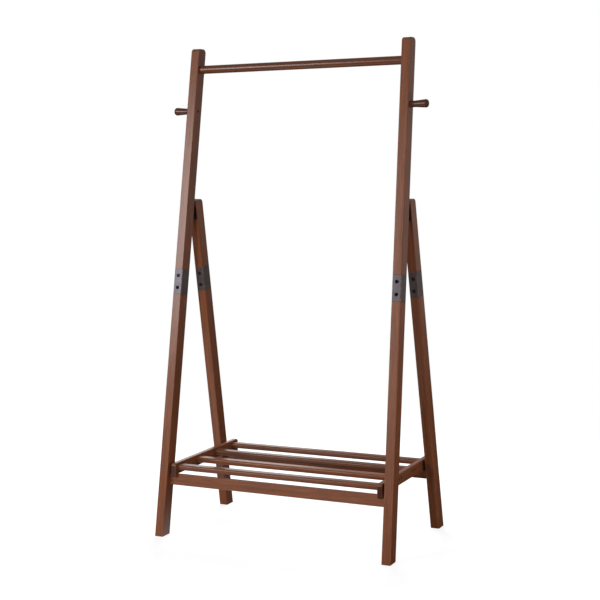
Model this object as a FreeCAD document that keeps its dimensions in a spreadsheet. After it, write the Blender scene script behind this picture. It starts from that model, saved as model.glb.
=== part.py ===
import FreeCAD, Part
import Sketcher
import os

# A-frame clothes rack. Two leaning front posts carry a hanging rod and two pegs. Two rear legs fold
# about butt hinges behind the posts, and a slatted shelf hooks over a low front and a low rear rail.
# Millimetres and degrees. +Z is up, +Y points to the back, and the origin is on the floor in the
# middle of the four feet. A station is a distance from the floor along a leaning frame.

SIZES = {
    # Stance of the two frames
    "base_depth": 505,
    "foot_spacing": 826.6,
    "front_lean": 9.3,
    "splay": 0.92,
    # Timber of the posts and legs
    "post_length": 1672,
    "post_width": 31,
    "post_depth": 47,
    "post_top_round": 14,
    "leg_width": 31,
    "leg_depth": 47,
    "leg_over_pin": 5,
    "leg_top_round": 14,
    "edge_round": 2.5,
    # Sleeves that join the halves
    "front_sleeve_below_pin": 277.5,
    "rear_sleeve_below_pin": 275,
    "sleeve_length": 85,
    "sleeve_wall": 1.5,
    "sleeve_fit": 0.1,
    "sleeve_screw_margin": 22,
    "sleeve_screw_head": 12,
    "sleeve_screw_height": 2.5,
    "sleeve_screw_dome": 1.8,
    "sleeve_screw_shank": 4,
    "sleeve_screw_length": 26,
    # Hanging rod
    "rod_below_top": 73,
    "rod_diameter": 28,
    "rod_socket_depth": 10,
    "rod_end_gap": 0.2,
    "rod_fit": 0.05,
    # Pegs
    "peg_below_top": 216.8,
    "peg_length": 60,
    "peg_base": 22.5,
    "peg_waist": 20,
    "peg_waist_at": 10,
    "peg_tip": 26.8,
    "peg_tip_round": 9,
    "peg_screw_head": 9,
    "peg_screw_shank": 4.5,
    "peg_screw_length": 64,
    # Low rails
    "rail_inset": 3.5,
    "rail_thickness": 20,
    "rail_round": 2,
    "front_rail_station": 172.8,
    "front_rail_height": 38,
    "rear_rail_height": 32,
    "dowel_diameter": 8,
    "dowel_length": 36,
    "dowel_margin": 8,
    "dowel_end_gap": 0.5,
    "dowel_fit": 0.05,
    # Hinges
    "hinge_station": 1142,
    "pin_diameter": 4,
    "pin_head_rim": 1.25,
    "pin_head_height": 1.2,
    "pin_fit": 0.05,
    "leaf_width": 26,
    "leaf_length": 60,
    "leaf_thickness": 2,
    "leaf_relief": 0.7,
    "knuckle_wall": 1.8,
    "knuckle_gap": 0.3,
    "knuckle_clearance": 0.4,
    "leaf_screw_first": 18,
    "leaf_screw_end_margin": 10,
    "leaf_screw_side_margin": 7,
    "leaf_screw_head": 6.5,
    "leaf_screw_shank": 3.5,
    "leaf_screw_length": 20,
    # Shelf
    "shelf_side_gap": 8.8,
    "shelf_rail_thickness": 18,
    "shelf_rail_height": 37.7,
    "shelf_rail_corner": 10,
    "shelf_rail_round": 2.5,
    "seat_gap": 0.3,
    "hook_gap": 1,
    "lip_drop": 10,
    "front_lip": 11,
    "rear_lip": 29,
    "slat_width": 34,
    "slat_thickness": 18,
    "slat_round": 6,
    "slat_below_rail": 7.5,
    "slat_front_margin": 31,
    "slat_rear_margin": 36,
    "slat_screw_margin": 6.5,
    "slat_screw_head": 8,
    "slat_screw_shank": 4,
    "slat_screw_length": 50,
    # Screw holes, and how far a cut runs out past the face it starts from
    "screw_fit": 0.05,
    "screw_tip_gap": 0.5,
    "cut_spare": 1,
}

SIDES = {"left": -1, "right": 1}
SLAT_COUNT = 4
LEAF_SCREW_COUNT = 3
# Side of the block that levels a foot, in timber depths
GROUND_DEPTHS = 4
# An edge this close to a face lies in it
NEAR = 1e-4
FORWARD = "rotationx(90)"
BACKWARD = "rotationx(-90)"
REVERSED = "rotationx(180)"

doc = FreeCAD.newDocument("clothes_rack")
pieces = []


def bind(thing, **expressions):
    """Ties named properties of a document object to expressions."""
    for name, expression in expressions.items():
        thing.setExpression(name, expression)
    return thing


def place(x="0", y="0", z="0", turn="rotationx(0)"):
    """Expression of a placement at x, y, z with a turn."""
    return f"placement(vector({x}; {y}; {z}); {turn})"


def outward(sign):
    """Turn that points a place's own z away from the middle of the rack."""
    return f"rotationy({90 * sign})"


def inward(sign):
    """Turn that points a place's own z at the middle of the rack."""
    return f"rotationy({-90 * sign})"


def write_sizes():
    """Puts the driving dimensions into a sheet, one alias for each."""
    sheet = doc.addObject("Spreadsheet::Sheet", "Sizes")
    for row, (alias, value) in enumerate(SIZES.items(), 1):
        sheet.set(f"A{row}", alias)
        sheet.set(f"B{row}", str(value))
        sheet.setAlias(f"B{row}", alias)
    doc.recompute()


def derive(frame, kind, **expressions):
    """Adds worked-out values to the frame, each tied to its expression."""
    for name, expression in expressions.items():
        frame.addProperty(f"App::Property{kind}", name, "Derived")
        frame.setExpression(name, expression)


def derive_frame():
    """Works out the leaning planes, the hinge pin and the seats of rails and shelf."""
    frame = doc.addObject("App::VarSet", "Frame")
    # Front plane, through the middle of the posts' depth
    derive(
        frame,
        "Float",
        front_foot_y="Sizes.post_depth / 2 / cos(Sizes.front_lean) - Sizes.base_depth / 2",
        knuckle_radius="Sizes.pin_diameter / 2 + Sizes.knuckle_wall",
        pin_offset="knuckle_radius + Sizes.knuckle_clearance",
        pin_back="Sizes.post_depth / 2 + pin_offset",
        pin_y="front_foot_y + pin_back * cos(Sizes.front_lean) + Sizes.hinge_station * sin(Sizes.front_lean)",
        pin_z="Sizes.hinge_station * cos(Sizes.front_lean) - pin_back * sin(Sizes.front_lean)",
        heel_reach="hypot(Sizes.base_depth / 2 - pin_y; pin_z)",
    )
    # Rear plane: the legs pass the pin at its offset, and their heels stand at the back of the base
    derive(
        frame,
        "Angle",
        rear_lean="atan((Sizes.base_depth / 2 - pin_y) / pin_z)"
        " - asin((pin_offset + Sizes.leg_depth) / heel_reach)",
    )
    derive(
        frame,
        "Float",
        rear_foot_y="Sizes.base_depth / 2 - Sizes.leg_depth / 2 / cos(rear_lean)",
        rear_pin_station="pin_z * cos(rear_lean) + (rear_foot_y - pin_y) * sin(rear_lean)",
        leg_length="rear_pin_station + Sizes.leg_over_pin",
        post_half="Sizes.foot_spacing / 2",
        hinge_half="post_half - Sizes.hinge_station * tan(Sizes.splay)",
        leg_half="hinge_half + rear_pin_station * tan(Sizes.splay)",
        post_inner="post_half - Sizes.post_width / 2 / cos(Sizes.splay)",
        leg_inner="leg_half - Sizes.leg_width / 2 / cos(Sizes.splay)",
        front_sleeve_mid="Sizes.hinge_station - Sizes.front_sleeve_below_pin",
        rear_sleeve_mid="rear_pin_station - Sizes.rear_sleeve_below_pin",
        peg_station="Sizes.post_length - Sizes.peg_below_top",
        rod_station="Sizes.post_length - Sizes.rod_below_top",
        rod_inner="post_inner - rod_station * tan(Sizes.splay)",
    )
    # Rails, with the rear one as high as the shelf needs to lie level
    derive(
        frame,
        "Float",
        front_rail_face="Sizes.post_depth / 2 - Sizes.rail_inset - Sizes.rail_thickness",
        front_rail_top="Sizes.front_rail_station + Sizes.front_rail_height",
        rest_height="(front_rail_top - Sizes.rail_round) * cos(Sizes.front_lean)"
        " - (front_rail_face + Sizes.rail_round) * sin(Sizes.front_lean) + Sizes.rail_round",
        rear_rail_back="Sizes.leg_depth / 2 - Sizes.rail_inset",
        rear_rail_face="rear_rail_back - Sizes.rail_thickness",
        rear_round_rise="(rear_rail_back - Sizes.rail_round) * sin(rear_lean) + Sizes.rail_round",
        rear_rail_top="(rest_height - rear_round_rise) / cos(rear_lean) + Sizes.rail_round",
        rear_rail_station="rear_rail_top - Sizes.rear_rail_height",
        front_dowel_station="Sizes.front_rail_station + Sizes.front_rail_height / 2",
        rear_dowel_station="rear_rail_station + Sizes.rear_rail_height / 2",
    )
    # Shelf, hooked over the rails
    derive(
        frame,
        "Float",
        shelf_bottom="rest_height + Sizes.seat_gap",
        shelf_top="shelf_bottom + Sizes.shelf_rail_height",
        lip_bottom="shelf_bottom - Sizes.lip_drop",
        front_hook_y="front_foot_y + front_rail_face / cos(Sizes.front_lean)"
        " + lip_bottom * tan(Sizes.front_lean) - Sizes.hook_gap",
        rear_hook_y="rear_foot_y + rear_rail_back / cos(rear_lean)"
        " - lip_bottom * tan(rear_lean) + Sizes.hook_gap",
        shelf_front="front_hook_y - Sizes.front_lip",
        shelf_rear="rear_hook_y + Sizes.rear_lip",
        shelf_outer="post_inner - shelf_top / cos(Sizes.front_lean) * tan(Sizes.splay)"
        " - Sizes.shelf_side_gap",
        shelf_inner="shelf_outer - Sizes.shelf_rail_thickness",
        slat_bottom="shelf_top - Sizes.slat_below_rail - Sizes.slat_thickness",
        slat_first_y="shelf_front + Sizes.slat_front_margin",
        slat_span="shelf_rear - Sizes.slat_rear_margin - slat_first_y",
    )
    # Places of the two planes and of each post and leg in them
    derive(
        frame,
        "Placement",
        front_plane=place(y="front_foot_y", turn="rotationx(-Sizes.front_lean)"),
        rear_plane=place(y="rear_foot_y", turn="rotationx(rear_lean)"),
    )
    for side, sign in SIDES.items():
        derive_side(frame, side, sign)
    doc.recompute()


def derive_side(frame, side, sign):
    """Places one post and one leg, and the planes as those two see them."""
    tilt = f"rotationy({-sign} * Sizes.splay)"
    derive(
        frame,
        "Placement",
        **{
            f"post_in_plane_{side}": place(x=f"{sign} * post_half", turn=tilt),
            f"leg_in_plane_{side}": place(x=f"{sign} * leg_half", turn=tilt),
            f"post_{side}": f"front_plane * post_in_plane_{side}",
            f"leg_{side}": f"rear_plane * leg_in_plane_{side}",
            f"plane_in_post_{side}": f"minvert(post_in_plane_{side})",
            f"plane_in_leg_{side}": f"minvert(leg_in_plane_{side})",
        },
    )


def new_body(label, home):
    """Starts a sub-part, modelled in its own axes and placed by an expression."""
    body = doc.addObject("PartDesign::Body", label)
    body.Label = label
    return bind(body, Placement=home)


def new_piece(label, home):
    """Starts a sub-part that is written to a file of its own."""
    body = new_body(label, home)
    pieces.append(body)
    return body


def block(body, kind, at, length, width, height):
    """Adds or cuts a box that stands on a place, centred on it in x and y."""
    box = body.newObject(f"PartDesign::{kind}Box", "Block")
    corner = place(f"-({length}) / 2", f"-({width}) / 2")
    return bind(box, Length=length, Width=width, Height=height, Placement=f"{at} * {corner}")


def cylinder(body, at, radius, height):
    """Adds a round bar that runs along a place's own z."""
    bar = body.newObject("PartDesign::AdditiveCylinder", "Bar")
    return bind(bar, Radius=radius, Height=height, Placement=at)


def bore(body, at, radius, depth):
    """Cuts a round hole from a place on the surface, against the place's own z."""
    hole = body.newObject("PartDesign::SubtractiveCylinder", "Bore")
    start = f"{at} * {place(z=f'-({depth})')}"
    return bind(hole, Radius=radius, Height=f"{depth} + Sizes.cut_spare", Placement=start)


def countersink(body, at, screw):
    """Cuts the cone of a flush screw head, which opens at a place on the surface."""
    cone = body.newObject("PartDesign::SubtractiveCone", "Sink")
    head = f"Sizes.{screw}_head / 2 + Sizes.screw_fit"
    shank = f"Sizes.{screw}_shank / 2 + Sizes.screw_fit"
    depth = f"(Sizes.{screw}_head - Sizes.{screw}_shank) / 2"
    start = f"{at} * {place(z=f'-({depth})')}"
    return bind(cone, Radius1=shank, Radius2=head, Height=depth, Placement=start)


def screw_hole(body, at, screw):
    """Cuts the hole for a screw whose head rests at a place on the surface."""
    radius = f"Sizes.{screw}_shank / 2 + Sizes.screw_fit"
    bore(body, at, radius, f"(Sizes.{screw}_length + Sizes.screw_tip_gap)")


def round_edges(body, radius, chosen):
    """Rounds the edges that a test picks, given an edge's box and the whole shape's box."""
    doc.recompute()
    base = body.Tip
    whole = base.Shape.BoundBox
    names = [
        f"Edge{number}"
        for number, edge in enumerate(base.Shape.Edges, 1)
        if chosen(edge.BoundBox, whole)
    ]
    fillet = body.newObject("PartDesign::Fillet", "Round")
    fillet.Base = (base, names)
    return bind(fillet, Radius=radius)


def runs_up(edge, whole):
    """True for an edge that runs along the own z of a piece."""
    return edge.ZLength > whole.ZLength / 2


def runs_across(edge, whole):
    """True for an edge that runs along x from end to end."""
    return edge.XLength > whole.XLength / 2


def at_top(edge, whole):
    """True for an edge that lies in the top face."""
    return edge.ZMin > whole.ZMax - NEAR


def top_across(edge, whole):
    """True for an edge of the top face that runs along x."""
    return at_top(edge, whole) and runs_across(edge, whole)


def profile(body, role, corners):
    """Draws a closed outline on one of the body's planes, each corner tied to two expressions."""
    sketch = body.newObject("Sketcher::SketchObject", "Outline")
    plane = [feature for feature in body.Origin.OriginFeatures if feature.Role == role][0]
    sketch.AttachmentSupport = (plane, [""])
    sketch.MapMode = "FlatFace"
    points = [
        FreeCAD.Vector(sketch.evalExpression(across), sketch.evalExpression(up), 0)
        for across, up in corners
    ]
    for start, end in zip(points, points[1:] + points[:1]):
        sketch.addGeometry(Part.LineSegment(start, end), False)
    for line in range(len(points)):
        sketch.addConstraint(Sketcher.Constraint("Coincident", line, 2, (line + 1) % len(points), 1))
    for line, (point, (across, up)) in enumerate(zip(points, corners)):
        for kind, value, expression in (("DistanceX", point.x, across), ("DistanceY", point.y, up)):
            number = sketch.addConstraint(Sketcher.Constraint(kind, -1, 1, line, 1, value))
            sketch.setExpression(f"Constraints[{number}]", expression)
    return sketch


def turned(body, corners):
    """Turns an outline, given as radius and height, about the body's own z."""
    sketch = profile(body, "XZ_Plane", corners)
    solid = body.newObject("PartDesign::Revolution", "Turn")
    solid.Profile = sketch
    solid.ReferenceAxis = (sketch, ["V_Axis"])
    solid.Angle = 360
    return solid


def flush_screw(screw):
    """A countersunk screw whose head ends at its own origin and whose point lies below."""
    head = f"Sizes.{screw}_head / 2"
    shank = f"Sizes.{screw}_shank / 2"
    length = f"Sizes.{screw}_length"
    body = new_body(f"{screw}_pattern", place())
    corners = (
        ("0", "0"),
        (head, "0"),
        (shank, f"{shank} - {head}"),
        (shank, f"{shank} - {length}"),
        ("0", f"-{length}"),
    )
    turned(body, corners)
    return body


def domed_screw(screw):
    """A screw with a domed head that stands on the surface at its own origin."""
    head = f"Sizes.{screw}_head / 2"
    shank = f"Sizes.{screw}_shank / 2"
    length = f"Sizes.{screw}_length"
    top = f"Sizes.{screw}_height"
    body = new_body(f"{screw}_pattern", place())
    corners = (
        ("0", top),
        (head, top),
        (head, "0"),
        (shank, "0"),
        (shank, f"{shank} - {length}"),
        ("0", f"-{length}"),
    )
    turned(body, corners)
    round_edges(body, f"Sizes.{screw}_dome", at_top)
    return body


def group(label, members):
    """Joins separate solids of one kind under one name."""
    joined = doc.addObject("Part::Compound", label)
    joined.Label = label
    joined.Links = members
    pieces.append(joined)


def screw_group(label, pattern, places):
    """Copies one screw to several places."""
    copies = []
    for at in places:
        copy = doc.addObject("App::Link", "Screw")
        copy.LinkedObject = pattern
        copies.append(bind(copy, Placement=at))
    group(label, copies)


class Timber:
    """A front post or rear leg: its names in the sheet and the frame, and its place."""

    def __init__(self, role, side):
        front = role == "front"
        kind = "post" if front else "leg"
        self.name = f"{role}_{kind}"
        self.side = side
        self.sign = SIDES[side]
        self.home = f"Frame.{kind}_{side}"
        self.plane = f"Frame.{role}_plane"
        self.plane_inside = f"Frame.plane_in_{kind}_{side}"
        self.width = f"Sizes.{kind}_width"
        self.depth = f"Sizes.{kind}_depth"
        self.top = "Sizes.post_length" if front else "Frame.leg_length"
        self.joint = f"Frame.{role}_sleeve_mid"
        self.pin_station = "Sizes.hinge_station" if front else "Frame.rear_pin_station"
        self.back_sign = 1 if front else -1
        self.sleeve = f"{role}_sleeve_{side}"

    def sleeve_screws(self):
        """Places of the two sleeve screws on the front face, in the timber's own axes."""
        return [
            place(
                y=f"-{self.depth} / 2",
                z=f"{self.joint} + {step} * (Sizes.sleeve_length / 2 - Sizes.sleeve_screw_margin)",
                turn=FORWARD,
            )
            for step in (-1, 1)
        ]

    def leaf_screws(self):
        """Places of the hinge leaf's screws on the leaf's outer face, in the leaning plane's axes."""
        turn = BACKWARD if self.back_sign > 0 else FORWARD
        stagger = "(Sizes.leaf_width / 2 - Sizes.leaf_screw_side_margin)"
        run = "(Sizes.leaf_length - Sizes.leaf_screw_end_margin - Sizes.leaf_screw_first)"
        return [
            place(
                f"{self.sign} * Frame.hinge_half + {(-1) ** row} * {stagger}",
                f"{self.back_sign} * ({self.depth} / 2 + Sizes.leaf_thickness)",
                f"{self.pin_station} - Sizes.leaf_screw_first - {row} * {run} / {LEAF_SCREW_COUNT - 1}",
                turn,
            )
            for row in range(LEAF_SCREW_COUNT)
        ]

    def dowels(self, role):
        """Places of the rail's dowels on the timber's inner face, pointing inward, in the plane's axes."""
        station = f"Frame.{role}_dowel_station"
        spread = f"(Sizes.{role}_rail_height / 2 - Sizes.dowel_margin)"
        inner = "Frame.post_inner" if role == "front" else "Frame.leg_inner"
        return [
            place(
                f"{self.sign} * ({inner} - {station} * tan(Sizes.splay))",
                f"Frame.{role}_rail_face + Sizes.rail_thickness / 2",
                f"{station} + {step} * {spread}",
                inward(self.sign),
            )
            for step in (-1, 1)
        ]


def tenon(body, timber, bottom):
    """Adds the slimmer end of a half, which fills half of the sleeve."""
    rebate = "2 * (Sizes.sleeve_wall + Sizes.sleeve_fit)"
    width = f"{timber.width} - {rebate}"
    depth = f"{timber.depth} - {rebate}"
    block(body, "Additive", place(z=bottom), width, depth, "Sizes.sleeve_length / 2")


def lower_half(timber, role):
    """The half that stands on the floor, cut level at the foot and drilled for the low rail."""
    body = new_piece(f"{timber.name}_lower_{timber.side}", timber.home)
    shoulder = f"{timber.joint} - Sizes.sleeve_length / 2"
    spare = timber.depth
    block(body, "Additive", place(z=f"-{spare}"), timber.width, timber.depth, f"{shoulder} + {spare}")
    round_edges(body, "Sizes.edge_round", runs_up)
    ground = f"{GROUND_DEPTHS} * {timber.depth}"
    under_foot = place(f"{timber.home}.Base.x", f"{timber.home}.Base.y", f"-{ground}")
    block(body, "Subtractive", f"minvert({timber.home}) * {under_foot}", ground, ground, ground)
    tenon(body, timber, shoulder)
    for at in timber.sleeve_screws()[:1]:
        screw_hole(body, at, "sleeve_screw")
    for at in timber.dowels(role):
        dowel_hole(body, f"{timber.plane_inside} * {at}")


def upper_blank(timber, spare="0"):
    """Square blank of the half above the joint, with some spare length at the top."""
    body = new_piece(f"{timber.name}_upper_{timber.side}", timber.home)
    shoulder = f"({timber.joint} + Sizes.sleeve_length / 2)"
    length = f"{timber.top} + {spare} - {shoulder}"
    block(body, "Additive", place(z=shoulder), timber.width, timber.depth, length)
    return body


def finish_upper_half(body, timber):
    """Rounds the long edges, adds the tenon and drills for a sleeve screw and the hinge leaf."""
    round_edges(body, "Sizes.edge_round", runs_up)
    tenon(body, timber, timber.joint)
    for at in timber.sleeve_screws()[1:]:
        screw_hole(body, at, "sleeve_screw")
    for at in timber.leaf_screws():
        screw_hole(body, f"{timber.plane_inside} * {at}", "leaf_screw")


def post_upper(timber):
    """Upper half of a front post: level, rounded top, rod socket and the peg's screw hole."""

    def top_ends(edge, whole):
        return runs_across(edge, whole) and edge.ZMin > whole.ZMax - whole.YLength / 2

    spare = timber.depth
    body = upper_blank(timber, spare)
    level = place(z=timber.top, turn="rotationx(Sizes.front_lean)")
    waste = f"2 * {spare}"
    block(body, "Subtractive", level, waste, waste, waste)
    round_edges(body, "Sizes.post_top_round", top_ends)
    finish_upper_half(body, timber)
    socket = place(f"{timber.sign} * Frame.rod_inner", "0", "Frame.rod_station", inward(timber.sign))
    radius = "Sizes.rod_diameter / 2 + Sizes.rod_fit"
    bore(body, f"{timber.plane_inside} * {socket}", radius, "Sizes.rod_socket_depth")
    countersink(body, peg_screw_place(timber), "peg_screw")
    screw_hole(body, peg_screw_place(timber), "peg_screw")


def leg_upper(timber):
    """Upper half of a rear leg, with the back of its top rounded off."""

    def top_back(edge, whole):
        return top_across(edge, whole) and edge.YMin > whole.YMax - NEAR

    body = upper_blank(timber)
    round_edges(body, "Sizes.leg_top_round", top_back)
    finish_upper_half(body, timber)


def sleeve(timber):
    """Metal tube, flush with the wood, that joins the two halves."""
    body = new_piece(timber.sleeve, timber.home)
    bottom = f"{timber.joint} - Sizes.sleeve_length / 2"
    block(body, "Additive", place(z=bottom), timber.width, timber.depth, "Sizes.sleeve_length")
    round_edges(body, "Sizes.edge_round", runs_up)
    block(
        body,
        "Subtractive",
        place(z=f"{bottom} - Sizes.cut_spare"),
        f"{timber.width} - 2 * Sizes.sleeve_wall",
        f"{timber.depth} - 2 * Sizes.sleeve_wall",
        "Sizes.sleeve_length + 2 * Sizes.cut_spare",
    )
    for at in timber.sleeve_screws():
        bore(body, at, "Sizes.sleeve_screw_shank / 2 + Sizes.screw_fit", "(2 * Sizes.sleeve_wall)")


def peg_screw_place(timber):
    """Place of the peg's screw head on the inner face, in the post's own axes."""
    return place(f"{-timber.sign} * Sizes.post_width / 2", "0", "Frame.peg_station", inward(timber.sign))


def peg(timber):
    """Turned peg that flares from a waist to a rounded tip, drilled for its screw."""
    seat = place(f"{timber.sign} * Sizes.post_width / 2", "0", "Frame.peg_station", outward(timber.sign))
    body = new_piece(f"peg_{timber.side}", f"{timber.home} * {seat}")
    corners = (
        ("0", "0"),
        ("Sizes.peg_base / 2", "0"),
        ("Sizes.peg_waist / 2", "Sizes.peg_waist_at"),
        ("Sizes.peg_tip / 2", "Sizes.peg_length - Sizes.peg_tip_round"),
        ("Sizes.peg_tip / 2", "Sizes.peg_length"),
        ("0", "Sizes.peg_length"),
    )
    turned(body, corners)
    round_edges(body, "Sizes.peg_tip_round", at_top)
    depth = "(Sizes.peg_screw_length - Sizes.post_width + Sizes.screw_tip_gap)"
    bore(body, place(turn=REVERSED), "Sizes.peg_screw_shank / 2 + Sizes.screw_fit", depth)


def hanging_rod():
    """Round bar between the posts, its ends in blind sockets."""
    rod = doc.addObject("Part::Cylinder", "hanging_rod")
    rod.Label = "hanging_rod"
    half = "(Frame.rod_inner + Sizes.rod_socket_depth - Sizes.rod_end_gap)"
    at = f"Frame.front_plane * {place(f'-{half}', '0', 'Frame.rod_station', 'rotationy(90)')}"
    bind(rod, Radius="Sizes.rod_diameter / 2", Height=f"2 * {half}", Placement=at)
    pieces.append(rod)


def low_rail(role, timbers, station, height):
    """Rail between two timbers: its ends follow their inner faces, and each end is drilled for dowels."""
    first = timbers[0]
    body = new_piece(f"{role}_rail", first.plane)
    middle = f"Frame.{role}_rail_face + Sizes.rail_thickness / 2"
    block(body, "Additive", place(y=middle, z=station), "Sizes.foot_spacing", "Sizes.rail_thickness", height)
    round_edges(body, "Sizes.rail_round", runs_across)
    for timber in timbers:
        reach = "Sizes.foot_spacing"
        past_face = place(f"{timber.sign} * ({reach} - {timber.width}) / 2")
        at = f"minvert({timber.plane_inside}) * {past_face}"
        block(body, "Subtractive", at, reach, f"2 * {timber.depth}", f"2 * ({station} + {height})")
    dowels = []
    for timber in timbers:
        for at in timber.dowels(role):
            dowel_hole(body, f"{at} * {place(turn=REVERSED)}")
            dowels.append(dowel(f"{timber.plane} * {at}"))
    group(f"{role}_rail_dowels", dowels)


def dowel_hole(body, at):
    """Cuts the hole for half a dowel."""
    radius = "Sizes.dowel_diameter / 2 + Sizes.dowel_fit"
    bore(body, at, radius, "(Sizes.dowel_length / 2 + Sizes.dowel_end_gap)")


def dowel(at):
    """Round pin, half in the timber and half in the rail."""
    pin = doc.addObject("Part::Cylinder", "Dowel")
    start = f"{at} * {place(z='-Sizes.dowel_length / 2')}"
    return bind(pin, Radius="Sizes.dowel_diameter / 2", Height="Sizes.dowel_length", Placement=start)


def hinge_leaf(timber, label, knuckles):
    """Leaf of a butt hinge, on the face that looks at the other timber, with some of three knuckles."""
    face = f"{timber.back_sign} * {timber.depth} / 2"
    seat = place(f"{timber.sign} * Frame.hinge_half", face, timber.pin_station)
    body = new_piece(label, f"{timber.plane} * {seat}")
    middle = f"{timber.back_sign} * Sizes.leaf_thickness / 2"
    neck = "(Frame.knuckle_radius + Sizes.leaf_relief)"
    plate = place(y=middle, z="-Sizes.leaf_length")
    block(body, "Additive", plate, "Sizes.leaf_width", "Sizes.leaf_thickness", f"Sizes.leaf_length - {neck}")
    width = "(Sizes.leaf_width / 3 - Sizes.knuckle_gap)"
    pin_line = f"{timber.back_sign} * Frame.pin_offset"
    for step in knuckles:
        across = f"{step} * Sizes.leaf_width / 3"
        block(body, "Additive", place(across, middle, f"-{neck}"), width, "Sizes.leaf_thickness", neck)
        start = place(f"{across} - {width} / 2", pin_line, "0", "rotationy(90)")
        cylinder(body, start, "Frame.knuckle_radius", width)
    mouth = place("Sizes.leaf_width / 2", pin_line, "0", "rotationy(90)")
    bore(body, mouth, "Sizes.pin_diameter / 2 + Sizes.pin_fit", "(Sizes.leaf_width + Sizes.cut_spare)")
    for at in timber.leaf_screws():
        local = f"minvert({seat}) * {at}"
        countersink(body, local, "leaf_screw")
        bore(body, local, "Sizes.leaf_screw_shank / 2 + Sizes.screw_fit", "(2 * Sizes.leaf_thickness)")


def hinge_pin(timber):
    """Pin through the knuckles, with a flat head at each end."""
    across = f"{timber.sign} * Frame.hinge_half"
    middle = place(across, "Frame.pin_back", "Sizes.hinge_station", "rotationy(90)")
    body = new_piece(f"hinge_pin_{timber.side}", f"{timber.plane} * {middle}")
    half = "Sizes.leaf_width / 2"
    radius = "Sizes.pin_diameter / 2"
    head = f"{radius} + Sizes.pin_head_rim"
    cylinder(body, place(z=f"-{half}"), radius, f"2 * {half}")
    for end in (half, f"-{half} - Sizes.pin_head_height"):
        cylinder(body, place(z=end), head, "Sizes.pin_head_height")


def slat_y(number):
    """Expression of the middle line of a slat, counted from the front."""
    return f"Frame.slat_first_y + {number} * Frame.slat_span / {SLAT_COUNT - 1}"


def slat_screws(sign):
    """Places of one side rail's screws, on its outer face."""
    spread = "(Sizes.slat_width / 2 - Sizes.slat_screw_margin)"
    return [
        place(
            f"{sign} * Frame.shelf_outer",
            f"{slat_y(number)} + {step} * {spread}",
            "Frame.slat_bottom + Sizes.slat_thickness / 2",
            outward(sign),
        )
        for number in range(SLAT_COUNT)
        for step in (-1, 1)
    ]


def shelf_side_rail(side, sign):
    """Side rail of the shelf, with a lip that drops in front of one low rail and behind the other."""
    start = "-Frame.shelf_outer" if sign < 0 else "Frame.shelf_inner"
    body = new_piece(f"shelf_side_rail_{side}", place(start))
    corners = (
        ("Frame.shelf_front", "Frame.lip_bottom"),
        ("Frame.front_hook_y", "Frame.lip_bottom"),
        ("Frame.front_hook_y", "Frame.shelf_bottom"),
        ("Frame.rear_hook_y", "Frame.shelf_bottom"),
        ("Frame.rear_hook_y", "Frame.lip_bottom"),
        ("Frame.shelf_rear", "Frame.lip_bottom"),
        ("Frame.shelf_rear", "Frame.shelf_top"),
        ("Frame.shelf_front", "Frame.shelf_top"),
    )
    board = body.newObject("PartDesign::Pad", "Board")
    board.Profile = profile(body, "YZ_Plane", corners)
    bind(board, Length="Sizes.shelf_rail_thickness")

    def on_a_side(edge, whole):
        return edge.XLength < whole.XLength / 2

    round_edges(body, "Sizes.shelf_rail_corner", top_across)
    round_edges(body, "Sizes.shelf_rail_round", on_a_side)
    for at in slat_screws(sign):
        local = f"{place(f'-({start})')} * {at}"
        countersink(body, local, "slat_screw")
        screw_hole(body, local, "slat_screw")


def shelf_slat(number):
    """Slat with rounded edges, butted between the side rails and drilled at both ends."""
    body = new_piece(f"shelf_slat_{number + 1}", place(y=slat_y(number), z="Frame.slat_bottom"))
    block(body, "Additive", place(), "2 * Frame.shelf_inner", "Sizes.slat_width", "Sizes.slat_thickness")
    round_edges(body, "Sizes.slat_round", runs_across)
    into_slat = place(y=f"-({slat_y(number)})", z="-Frame.slat_bottom")
    for sign in SIDES.values():
        for at in slat_screws(sign)[2 * number : 2 * number + 2]:
            screw_hole(body, f"{into_slat} * {at}", "slat_screw")


def build_frame(role):
    """Posts or legs of one leaning frame, with their sleeves."""
    timbers = [Timber(role, side) for side in SIDES]
    for timber in timbers:
        lower_half(timber, role)
        if role == "front":
            post_upper(timber)
        else:
            leg_upper(timber)
        sleeve(timber)
    return timbers


def build_rack():
    """Makes every sub-part of the rack."""
    posts = build_frame("front")
    legs = build_frame("rear")
    hanging_rod()
    low_rail("front", posts, "Sizes.front_rail_station", "Sizes.front_rail_height")
    low_rail("rear", legs, "Frame.rear_rail_station", "Sizes.rear_rail_height")
    for post, leg in zip(posts, legs):
        peg(post)
        hinge_leaf(post, f"hinge_post_leaf_{post.side}", (-1, 1))
        hinge_leaf(leg, f"hinge_leg_leaf_{leg.side}", (0,))
        hinge_pin(post)
    for side, sign in SIDES.items():
        shelf_side_rail(side, sign)
    for number in range(SLAT_COUNT):
        shelf_slat(number)
    build_screws(posts, legs)


def build_screws(posts, legs):
    """Makes one screw of each kind and copies it to where it is driven."""
    sleeve_screw = domed_screw("sleeve_screw")
    leaf_screw = flush_screw("leaf_screw")
    for name, timbers in (("front", posts), ("rear", legs)):
        places = [f"{timber.home} * {at}" for timber in timbers for at in timber.sleeve_screws()]
        screw_group(f"{name}_sleeve_screws", sleeve_screw, places)
    for name, timbers in (("post", posts), ("leg", legs)):
        places = [f"{timber.plane} * {at}" for timber in timbers for at in timber.leaf_screws()]
        screw_group(f"hinge_{name}_screws", leaf_screw, places)
    peg_screw = flush_screw("peg_screw")
    screw_group("peg_screws", peg_screw, [f"{post.home} * {peg_screw_place(post)}" for post in posts])
    slat_screw = flush_screw("slat_screw")
    for side, sign in SIDES.items():
        screw_group(f"slat_screws_{side}", slat_screw, slat_screws(sign))


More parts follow.
